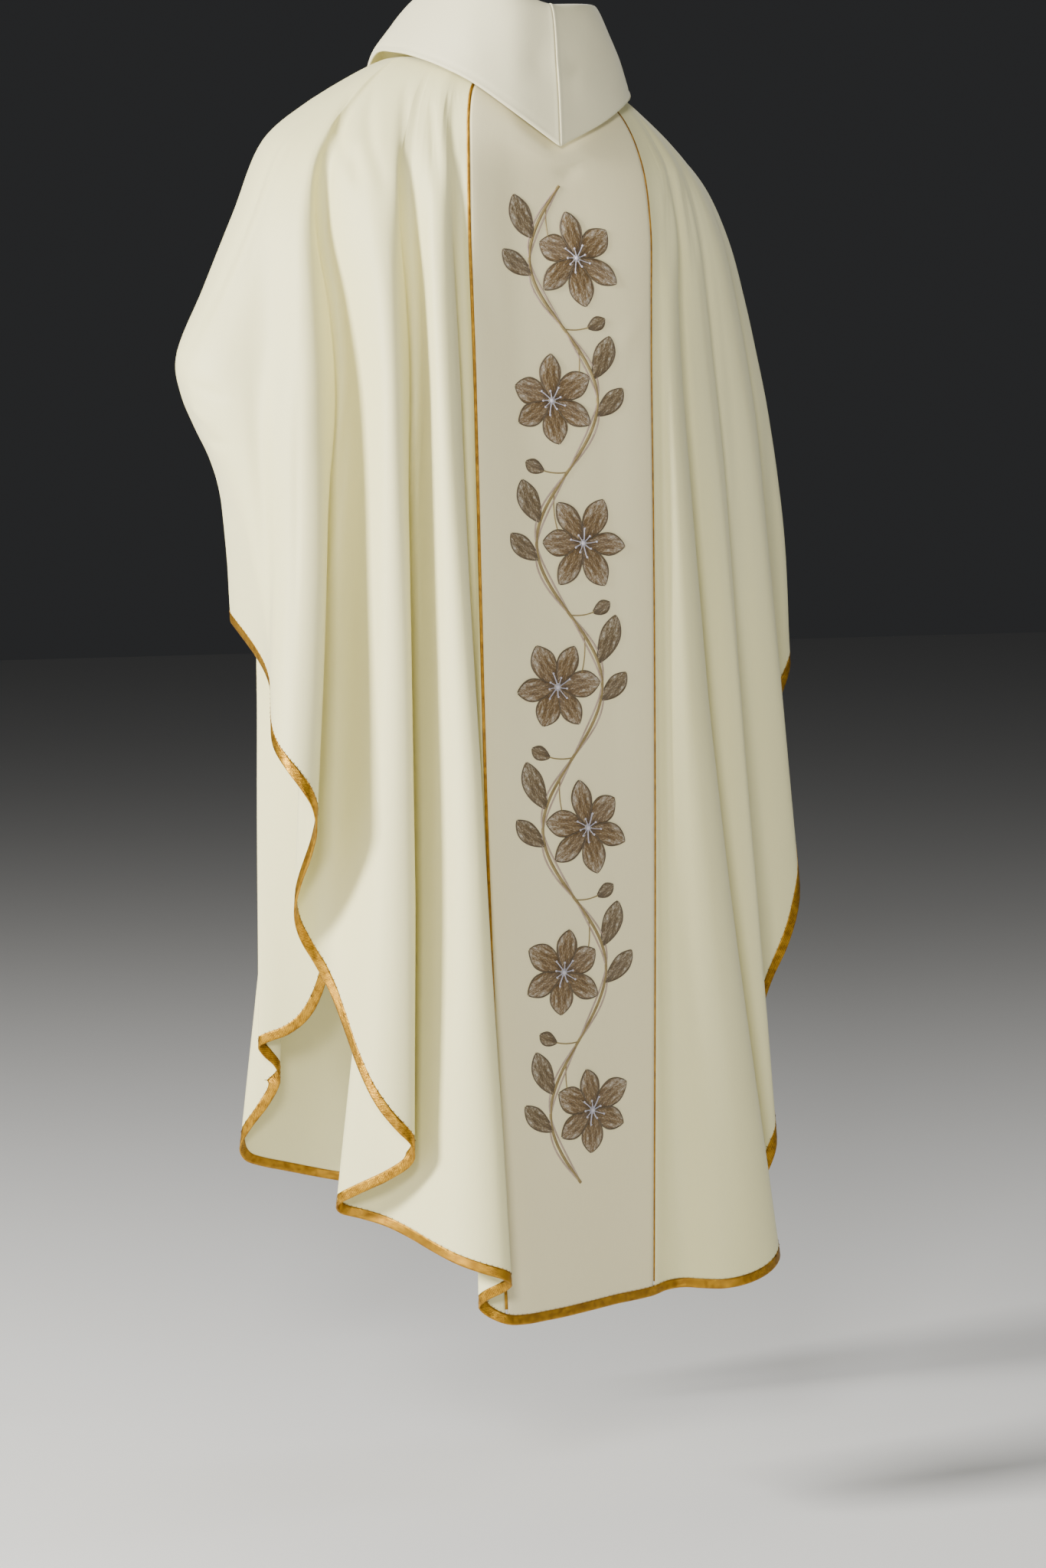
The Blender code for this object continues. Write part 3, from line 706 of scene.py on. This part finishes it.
def aboveHem(column, height, out):
    # a place on the binding: height up from the hem's edge and out along the cloth's normal
    j = column % clothColumns
    row = clothRows - 1 - max(hemUp[j], 0) * height
    at = column + hemAlong[j] * height
    return onCloth(row, at) + onCloth(row, at, clothNormals) * out


def hemRun(columns):
    edge = clothPoints[-1][columns]
    steps = np.linalg.norm(np.diff(edge, axis=0), axis=1)
    return np.concatenate([[0], np.cumsum(steps)])


def bindHem(name, start, end):
    columns = columnsBetween(start, end)
    run = hemRun(columns)
    outside, inside = binding["proud"], -drape["cloth"] - binding["proud"]
    heights = [binding["height"] * (1 - k / binding["steps"]) for k in range(binding["steps"])]
    section = [(h, outside) for h in heights]
    section += [(binding["lip"], outside * binding["draw"]), (-binding["under"], (outside + inside) / 2)]
    section += [(binding["lip"], inside * binding["draw"] + binding["slack"])]
    section += [(h, inside) for h in reversed(heights)]
    rows, uvs, across = [], [], 0.0
    for k, (height, out) in enumerate(section):
        if k:
            across += abs(height - section[k - 1][0]) + abs(out - section[k - 1][1]) * binding["uvSlant"]
        rows.append([aboveHem(column, height, out) for column in columns])
        uvs.append([(distance, across) for distance in run])
    bm = bmesh.new()
    gridSheet(bm, rows, uvs)
    piece = newPiece(name + "_gold", bm, goldBinding)
    solidified(piece, binding["tape"])
    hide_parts(name)
    return piece, float(run[-1])


bindingEnds = (("binding_back", "right_side", "left_side"), ("binding_front", "left_side", "right_side"))
for name, start, end in bindingEnds:
    bindHem(name, start, end)


# Small gold stitches over the binding's upper edge, on the outer face
hemStitch = {
    "spacing": 0.0052, "long": 0.0022, "radius": 0.00028, "sides": 5,
    "lift": 0.0004, "root": 0.0001, "shortest": 0.0015,
}


def stitchHem(name, start, end):
    columns = columnsBetween(start, end)
    run = hemRun(columns)
    bm = bmesh.new()
    for k in range(1, int(run[-1] / hemStitch["spacing"])):
        place = float(np.interp(k * hemStitch["spacing"], run, np.arange(len(columns))))
        j = (columns[0] + int(round(place))) % clothColumns
        lift, half = binding["proud"] + hemStitch["lift"], hemStitch["long"] / 2
        low = Vector(aboveHem(j, binding["height"] - half, lift))
        high = Vector(aboveHem(j, binding["height"] + half, hemStitch["root"]))
        made = bmesh.ops.create_cone(
            bm, cap_ends=True, segments=hemStitch["sides"], radius1=hemStitch["radius"],
            radius2=hemStitch["radius"], depth=max((high - low).length, hemStitch["shortest"]))["verts"]
        turn = (high - low).to_track_quat("Z", "Y").to_matrix().to_4x4()
        bmesh.ops.transform(bm, verts=made, matrix=Matrix.Translation((low + high) / 2) @ turn)
    piece = newPiece(name + "_stitches", bm, goldPiping)
    return piece


hemStitches = {name: stitchHem(name, start, end) for name, start, end in bindingEnds}
print("hem stitched")


# The covered cords beside the band
piping = {
    "radius": {"piping_left": 0.0019, "piping_right": 0.0016},
    "sides": 12,
    "startRow": 14,
    "squash": 0.85,                      # how flat the cord lies
    "sunk": 0.001,
    "endRows": 1.2,                      # rows that it stops above the hem
}


def pipeSeam(name, seam):
    column = columnAt[seam]
    radius = piping["radius"][name]
    rows = np.arange(piping["startRow"], clothRows - piping["endRows"], 1.0)
    out = np.array([onCloth(row, column, clothNormals) for row in rows])
    middle = np.array([onCloth(row, column) for row in rows]) - out * piping["sunk"]
    way = np.gradient(middle, axis=0)
    way /= np.linalg.norm(way, axis=1, keepdims=True)
    side = np.cross(way, out)
    side /= np.linalg.norm(side, axis=1, keepdims=True)
    run = np.concatenate([[0], np.cumsum(np.linalg.norm(np.diff(middle, axis=0), axis=1))])
    points, uvs = [], []
    for k in range(piping["sides"] + 1):
        angle = 2 * math.pi * k / piping["sides"]
        ring = side * math.cos(angle) + out * math.sin(angle) * piping["squash"]
        points.append(list(middle + ring * radius))
        uvs.append([(distance, angle * radius) for distance in run])
    bm = bmesh.new()
    gridSheet(bm, points, uvs, tube=True)
    bmesh.ops.holes_fill(bm, edges=[edge for edge in bm.edges if edge.is_boundary], sides=0)
    bmesh.ops.recalc_face_normals(bm, faces=bm.faces)
    piece = newPiece(name + "_cord", bm, goldPiping)
    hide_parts(name)
    return piece


for name, seam in (("piping_left", "left_seam"), ("piping_right", "right_seam")):
    pipeSeam(name, seam)
print("pipings laid")


# The turned-down collar, one half at a time
def collarGrid(side):
    edgeRing, foldRing = collarRings()
    count = len(collarShape)
    order = list(range(count)) if side > 0 else [0] + list(range(len(edgeRing) - 1, count - 2, -1))
    sections = []
    for k in order:
        edge, fold = edgeRing[k], foldRing[k]
        seat = neckPoint(math.atan2(fold.y, fold.x))
        flat = Vector((fold.x, fold.y, 0)).normalized()
        foot = seat - flat * collar["standIn"] - Vector((0, 0, collar["standDepth"]))
        rise = foot + Vector((0, 0, 2 * collar["standDepth"]))
        drop = Vector((0, 0, collar["fold"]))
        rimIn = fold - flat * collar["fold"] - drop
        rimOut = fold + flat * collar["fold"] - drop
        waist = rimOut.lerp(edge, 0.5) + flat * collar["bow"]
        sections.append(curveThrough([foot, rise, rimIn, fold, rimOut, waist, edge], collar["stepsDown"]))
    rows = [curveThrough([s[i] for s in sections], collar["stepsRound"]) for i in range(len(sections[0]))]
    return np.array([[tuple(p) for p in row] for row in rows])


# Soft dents of the collar's fall: place round (0 back to 1 front), place down (0 fold to 1 edge),
# radius and depth
collarDents = {
    "left": [(0.10, 0.45, 0.020, 0.0020), (0.22, 0.30, 0.026, -0.0018), (0.30, 0.62, 0.022, 0.0016),
             (0.42, 0.40, 0.024, -0.0014), (0.62, 0.55, 0.022, 0.0014), (0.80, 0.45, 0.020, -0.0012)],
    "right": [(0.09, 0.42, 0.014, 0.0026), (0.16, 0.60, 0.018, -0.0016), (0.25, 0.35, 0.020, 0.0014),
              (0.45, 0.50, 0.024, -0.0014), (0.64, 0.45, 0.022, 0.0014), (0.82, 0.50, 0.020, -0.0012)],
}


def turnCollar(name, side):
    points = collarGrid(side)
    normals = normalsOf(points, closed=False) * side
    rows, columns = points.shape[:2]
    foldRow = sum(collar["stepsDown"][:3])
    which = name.split("_")[1]
    for around, down, radius, depth in collarDents[which]:
        middle = points[int(foldRow + down * (rows - 1 - foldRow)), int(around * (columns - 1))]
        away = np.linalg.norm(points - middle, axis=2)
        points = points - normals * (depth * np.exp(-(away / radius) ** 2))[..., None]
    fromSeam = lengthsOf(points, 1)
    ridge = collar["seamRidge"] * np.exp(-((fromSeam - collar["seamAt"]) / collar["seamWidth"]) ** 2)
    if which == "left":
        ridge *= collar["leftSeamShare"]
    fall = np.zeros((rows, 1))
    fall[foldRow - 4:] = 1
    points = points + normals * (ridge * fall)[..., None]
    fromEdge = lengthsOf(points[::-1], 0)[::-1]
    groove = collar["edgeRoll"] * np.exp(-((fromEdge - collar["edgeAt"]) / collar["edgeWidth"]) ** 2)
    points = points - normals * (groove * fall)[..., None]
    points[:, 0, 0] = side * collar["halfGap"]
    points[:, -1, 0] = side * collar["halfGap"]
    grid = points if side > 0 else points[:, ::-1]
    bm = bmesh.new()
    gridSheet(bm, grid, clothUvs(grid))
    piece = newPiece(name + "_cloth", bm, collarCloth)
    solidified(piece, collar["thickness"], offset=0.0)
    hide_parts(name)
    return piece, areaOf(points)


for name, side in (("collar_left", 1), ("collar_right", -1)):
    turnCollar(name, side)


# Raised embroidery down the band: an invented winding vine with open six-petal blossoms, leaves and
# buds. Places are (across, down) in metres from the middle of the band and from the yoke.
vine = {
    "seed": 5,
    "top": 0.008, "pitch": 0.146, "blossoms": 7, "sway": 0.036, "inset": 0.016,
    "petals": 6, "petalLong": 0.044, "petalWide": 0.0125, "eye": 0.004, "overlap": 0.0007,
    "threads": 9, "longThread": 0.015, "shortThread": 0.010, "knot": 0.0012,
    "leafLong": 0.050, "leafWide": 0.0115,
    "outerLeaves": ((-0.16, 0.62, 1.0), (0.10, 1.05, 0.86)),      # place, outwards, size
    "budLong": 0.027, "budWide": 0.0070,
    "rise": 0.0008, "sunk": 0.00025, "outline": 0.0008,
    "stitch": 0.00035, "stitchLong": 0.0022, "stitchWide": 0.0017,
    "edgeRise": 0.9, "veinRise": 1.25, "veinGap": 0.4, "veinWide": 0.75, "veinTaper": 0.5, "dome": 0.4,
    "stem": 0.0019, "stemRise": 0.0010, "stalk": 0.0008, "stalkRise": 0.0007,
    "strand": 0.0050, "strandWide": 0.0012, "strandRise": 0.0007,
    "threadWide": 0.0007, "threadRise": 0.0023, "threadBend": 0.2, "knotLift": 0.0021,
    "heart": 2.2, "heartLift": 0.0014,   # the middle knot, by the others' radius
    "blossomStalk": (0.36, 3.0, 0.040, 0.45),                     # place, turn, length, bend
    "budStalk": (0.5, 1.75, 0.5),                                 # place, turn, bend
    "budLeaf": (0.8, 0.3),                                        # length by its stalk's, bend
    "leafBend": 0.4,
}
bandColumns = columnsBetween("right_seam", "left_seam")
yokeRow = sum(drape["stepsDown"][:2]) * drape["fineDown"]


def bandMap():
    # for each row: distance across the band at each column, and the distance run down its middle
    points = clothPoints[:, bandColumns]
    across = lengthsOf(points, 1)
    down = lengthsOf(points, 0)[:, len(bandColumns) // 2]
    return across - across[:, -1:] / 2, down - down[yokeRow]


bandAcross, bandDown = bandMap()


def onBand(across, down, out):
    row = float(np.interp(down, bandDown, np.arange(clothRows)))
    i = min(int(row), clothRows - 2)
    share = row - i
    widths = bandAcross[i] * (1 - share) + bandAcross[i + 1] * share
    column = bandColumns[0] + float(np.interp(across, widths, np.arange(len(bandColumns))))
    return onCloth(row, column) + onCloth(row, column, clothNormals) * out


def wayAt(line, k):
    # the direction of a line at its point k, across and down
    before, after = line[max(k - 1, 0)], line[min(k + 1, len(line) - 1)]
    across, down = after[0] - before[0], after[1] - before[1]
    size = math.hypot(across, down) or 1e-9
    return across / size, down / size


def stitchedShape(bm, line, widths, rise, across=5, stitch=0.0):
    # a domed shape along a line on the band, with a half-width at each of its points; stitch is the
    # height of the raised stitches that alternate over it
    rows, uvs, run = [], [], 0.0
    for k, (a, d) in enumerate(line):
        ta, td = wayAt(line, k)
        if k:
            run += math.hypot(a - line[k - 1][0], d - line[k - 1][1])
        row, uvRow = [], []
        for j in range(across):
            side = 2 * j / (across - 1) - 1
            if j in (0, across - 1):
                height = -vine["sunk"]
            else:
                height = rise * (1 - side * side) ** vine["dome"] + stitch * ((k + j) % 2)
            row.append(onBand(a + td * side * widths[k], d - ta * side * widths[k], height))
            uvRow.append((side * widths[k], run))
        rows.append(row)
        uvs.append(uvRow)
    gridSheet(bm, rows, uvs)


def bentLine(start, angle, length, bend, samples=14):
    # a line that leaves start at an angle and turns by bend radians over its length
    line = [start]
    for k in range(samples):
        way = angle + bend * (k + 0.5) / samples
        step = length / samples
        line.append((line[-1][0] + math.cos(way) * step, line[-1][1] + math.sin(way) * step))
    return line


petalForm = {"fullest": 0.58, "foot": 0.14, "growPower": 0.9, "fallPower": 0.75, "tip": 0.0003}


def petalWidths(count, wide):
    # half-widths of a petal or leaf: narrow at its foot, fullest past the middle, then pointed
    fullest, foot = petalForm["fullest"], petalForm["foot"]
    made = []
    for k in range(count):
        t = k / (count - 1)
        grow = math.sin(math.pi / 2 * min(t / fullest, 1)) ** petalForm["growPower"]
        fall = math.cos(math.pi / 2 * max((t - fullest) / (1 - fullest), 0)) ** petalForm["fallPower"]
        made.append(max(wide * (foot + (1 - foot) * grow) * fall, petalForm["tip"]))
    return made


def beside(line, widths, side):
    # the edge line of a shape, on its left (-1) or right (1)
    made = []
    for k, (a, d) in enumerate(line):
        ta, td = wayAt(line, k)
        made.append((a + td * side * widths[k], d - ta * side * widths[k]))
    return made


def petalWithEdge(fill, edging, start, angle, length, wide, bend, layer=0.0, veins=1):
    line = bentLine(start, angle, length, bend, samples=int(length / vine["stitchLong"]))
    widths = petalWidths(len(line), wide)
    across = 2 * int(wide / vine["stitchWide"]) + 1
    stitchedShape(fill, line, widths, vine["rise"] + layer, across, vine["stitch"])
    for side in (-1, 1):
        stitchedShape(edging, beside(line, widths, side), [vine["outline"]] * len(line),
                      vine["rise"] * vine["edgeRise"] + layer)
    for vein in range(veins):
        off = (vein - (veins - 1) / 2) * vine["veinGap"]
        inner = [w * off for w in widths]
        middle = beside(line, inner, 1)[1:-4]
        wide, narrowing = vine["veinWide"], vine["veinTaper"]
        taper = [vine["outline"] * (wide - narrowing * k / len(middle)) for k in range(len(middle))]
        stitchedShape(edging, middle, taper, vine["rise"] * vine["veinRise"] + layer)


def knotAt(bm, a, d, radius, lift):
    made = bmesh.ops.create_uvsphere(bm, u_segments=8, v_segments=6, radius=radius)["verts"]
    bmesh.ops.translate(bm, verts=made, vec=Vector(onBand(a, d, lift)))


def stemPlace(down):
    phase = 2 * math.pi * (down - vine["top"]) / (2 * vine["pitch"])
    return vine["sway"] * math.sin(phase), down


def sewBlossom(parts, dice, centre):
    turn = dice.uniform(0, math.pi / 3)
    for k in range(vine["petals"]):
        outer = k % 2
        angle = turn + 2 * math.pi * k / vine["petals"]
        foot = (centre[0] + math.cos(angle) * vine["eye"], centre[1] + math.sin(angle) * vine["eye"])
        long = vine["petalLong"] * dice.uniform(0.88, 1.06)
        wide = vine["petalWide"] * (1.08 if outer else 0.92)
        bend = dice.uniform(-0.25, 0.25)
        petalWithEdge(parts["petals"], parts["edging"], foot, angle, long, wide, bend,
                      layer=0.0 if outer else vine["overlap"], veins=3)
    for k in range(vine["threads"]):
        reach = vine["longThread"] if k % 2 else vine["shortThread"]
        angle = 2 * math.pi * k / vine["threads"] + turn
        line = bentLine(centre, angle, reach, vine["threadBend"], samples=5)
        stitchedShape(parts["knots"], line, [vine["threadWide"]] * len(line), vine["threadRise"])
        knotAt(parts["knots"], *line[-1], vine["knot"], vine["knotLift"])
    knotAt(parts["knots"], *centre, vine["knot"] * vine["heart"], vine["heartLift"])


def sewStalk(parts, start, angle, length, bend):
    stalk = bentLine(start, angle, length, bend, samples=10)
    stitchedShape(parts["stems"], stalk, [vine["stalk"]] * len(stalk), vine["stalkRise"])
    return stalk[-1], angle + bend


def growVine():
    # the stem winds from side to side, with a blossom in each bend and leaves on its outer side
    dice = random.Random(vine["seed"])
    parts = {key: bmesh.new() for key in ("petals", "leaves", "stems", "edging", "knots", "ribbons")}
    count = 30 * vine["blossoms"]
    run = vine["pitch"] * vine["blossoms"]
    stem = [stemPlace(vine["top"] + run * k / count) for k in range(count + 1)]
    stitchedShape(parts["stems"], stem, [vine["stem"]] * len(stem), vine["stemRise"])
    for side in (-1, 1):
        strand = [(a + side * vine["strand"] * math.sin(2 * math.pi * k / count * vine["blossoms"]), d)
                  for k, (a, d) in enumerate(stem)]
        stitchedShape(parts["ribbons"], strand, [vine["strandWide"]] * len(strand), vine["strandRise"])
    up = -math.pi / 2
    for n in range(vine["blossoms"]):
        side = 1 if n % 2 == 0 else -1
        down = vine["top"] + vine["pitch"] * (n + 0.5)
        share, turn, long, bend = vine["blossomStalk"]
        sewStalk(parts, stemPlace(down - vine["pitch"] * share), up + side * turn, long, side * bend)
        sewBlossom(parts, dice, (-side * vine["inset"], down))
        for share, out, size in vine["outerLeaves"]:
            start = stemPlace(down + vine["pitch"] * share)
            long = vine["leafLong"] * size * dice.uniform(0.92, 1.05)
            petalWithEdge(parts["leaves"], parts["edging"], start, up + side * out, long,
                          vine["leafWide"] * size, -side * vine["leafBend"])
        if n < vine["blossoms"] - 1:
            share, turn, bend = vine["budStalk"]
            start = stemPlace(down + vine["pitch"] * share)
            end, way = sewStalk(parts, start, up - side * turn, vine["budLong"], side * bend)
            share, bend = vine["budLeaf"]
            petalWithEdge(parts["leaves"], parts["edging"], end, way, vine["budLong"] * share,
                          vine["budWide"], side * bend)
    return parts


threadLook = {
    "petals": [(0.10, (0.070, 0.042, 0.020)), (0.42, (0.175, 0.105, 0.035)), (0.58, (0.30, 0.235, 0.150)),
               (0.86, (0.50, 0.45, 0.36))],
    "leaves": [(0.10, (0.065, 0.045, 0.024)), (0.45, (0.150, 0.100, 0.042)), (0.62, (0.28, 0.23, 0.150)),
               (0.88, (0.52, 0.48, 0.38))],
    "stems": [(0.0, (0.15, 0.10, 0.03)), (1.0, (0.36, 0.27, 0.10))],
    "edging": [(0.0, (0.055, 0.036, 0.020)), (1.0, (0.15, 0.105, 0.050))],
    "knots": [(0.0, (0.36, 0.34, 0.40)), (1.0, (0.62, 0.60, 0.66))],
    "ribbons": [(0.0, (0.30, 0.20, 0.13)), (1.0, (0.52, 0.41, 0.33))],
}


def threadFinish(name, stops, fade=0.0):
    # stitches across the shape in threads of mottled colours, paler by fade for each metre from the foot
    finish = newFinish(name, stops[-1][1], 0.42, sheen=0.2)
    shader = finish.node_tree.nodes["Principled BSDF"]
    flat = uvPattern(finish, (1, 1, 1))
    thread = wavesOn(finish, uvPattern(finish, (1, 1, 1), math.radians(62)), 340.0, 1.2)
    dash = noiseOn(finish, uvPattern(finish, (1100, 380, 1)), 1.0, 2.0)
    patch = noiseOn(finish, uvPattern(finish, (310, 62, 1)), 1.0, 3.0)
    offset = scaledSum(finish, patch, 1.3, -0.70 - fade * 0.03)
    mixed = scaledSum(finish, dash, 1.1, offset)
    place = addNode(finish, "ShaderNodeSeparateXYZ")
    join(finish, flat, place.inputs["Vector"])
    tint = scaledSum(finish, place.outputs["Y"], fade, mixed)
    join(finish, ramp(finish, tint, stops), shader.inputs["Base Color"])
    bumpChain(finish, [(thread, 0.55, 0.00022), (dash, 0.4, 0.0002)])
    return finish


threadFade = {"petals": 7.0, "leaves": 4.0}
for key, bm in growVine().items():
    fade = threadFade.get(key, 0.0)
    piece = newPiece("embroidery_" + key, bm, threadFinish("thread_" + key, threadLook[key], fade))
    print("embroidered", key, "with", len(piece.data.polygons), "faces")


# Floor, light and camera. Distances to the right of the view and towards the camera.
studio = {
    "floorZ": -1.505,
    "floorColour": (0.78, 0.775, 0.76),
    "worldColour": (0.80, 0.82, 0.85), "worldStrength": 0.03,
    "aim": (0.039, 0.0, -0.756),
    "distance": 5.0, "azimuth": 155, "elevation": 5,
    "lens": 107.6,
}
lights = {
    # right, towards the camera, height, size, watts, colour
    "key": (-3.0, 1.75, 0.75, 0.8, 330, (1.0, 0.985, 0.95)),
    "fill": (2.9, 0.2, 0.5, 0.8, 20, (0.95, 0.97, 1.0)),
    "front": (-0.5, 4.4, 0.9, 0.8, 125, (1.0, 0.985, 0.96)),
    "top": (0.2, -1.2, 2.0, 1.2, 14, (1.0, 1.0, 1.0)),
}


def viewPlace(right, towards, z):
    turn = math.radians(180 - studio["azimuth"])
    return Vector((-math.cos(turn) * right + math.sin(turn) * towards,
                   math.sin(turn) * right + math.cos(turn) * towards, z))


def aimed(name, data, place, target):
    made = bpy.data.objects.new(name, data)
    made.location = place
    made.rotation_euler = (target - made.location).to_track_quat("-Z", "Y").to_euler()
    bpy.context.scene.collection.objects.link(made)
    return made


def setStage():
    bm = bmesh.new()
    bmesh.ops.create_grid(bm, x_segments=4, y_segments=4, size=14)
    bmesh.ops.translate(bm, verts=bm.verts, vec=(0, 0, studio["floorZ"]))
    mesh = bpy.data.meshes.new("floor")
    bm.to_mesh(mesh)
    bm.free()
    floorFinish = newFinish("floor_paper", studio["floorColour"], 0.9)
    paper = noiseOn(floorFinish, objectPattern(floorFinish), 60.0, 4.0)
    bumpChain(floorFinish, [(paper, 0.1, 0.0005)])
    mesh.materials.append(floorFinish)
    floor = bpy.data.objects.new("floor", mesh)
    bpy.context.scene.collection.objects.link(floor)
    world = bpy.data.worlds.new("studio")
    world.use_nodes = True
    sky = world.node_tree.nodes["Background"]
    sky.inputs["Color"].default_value = (*studio["worldColour"], 1)
    sky.inputs["Strength"].default_value = studio["worldStrength"]
    bpy.context.scene.world = world
    target = viewPlace(*studio["aim"])
    for name, (right, towards, z, size, watts, colour) in lights.items():
        data = bpy.data.lights.new(name, "AREA")
        data.shape = "SQUARE"
        data.size = size
        data.energy = watts
        data.color = colour
        aimed(name, data, viewPlace(right, towards, z), target)
    data = bpy.data.cameras.new("camera")
    data.lens = studio["lens"]
    rise = math.radians(studio["elevation"])
    way = viewPlace(0, math.cos(rise), math.sin(rise))
    bpy.context.scene.camera = aimed("camera", data, target + way * studio["distance"], target)


setStage()
print("stage, lights and camera set")
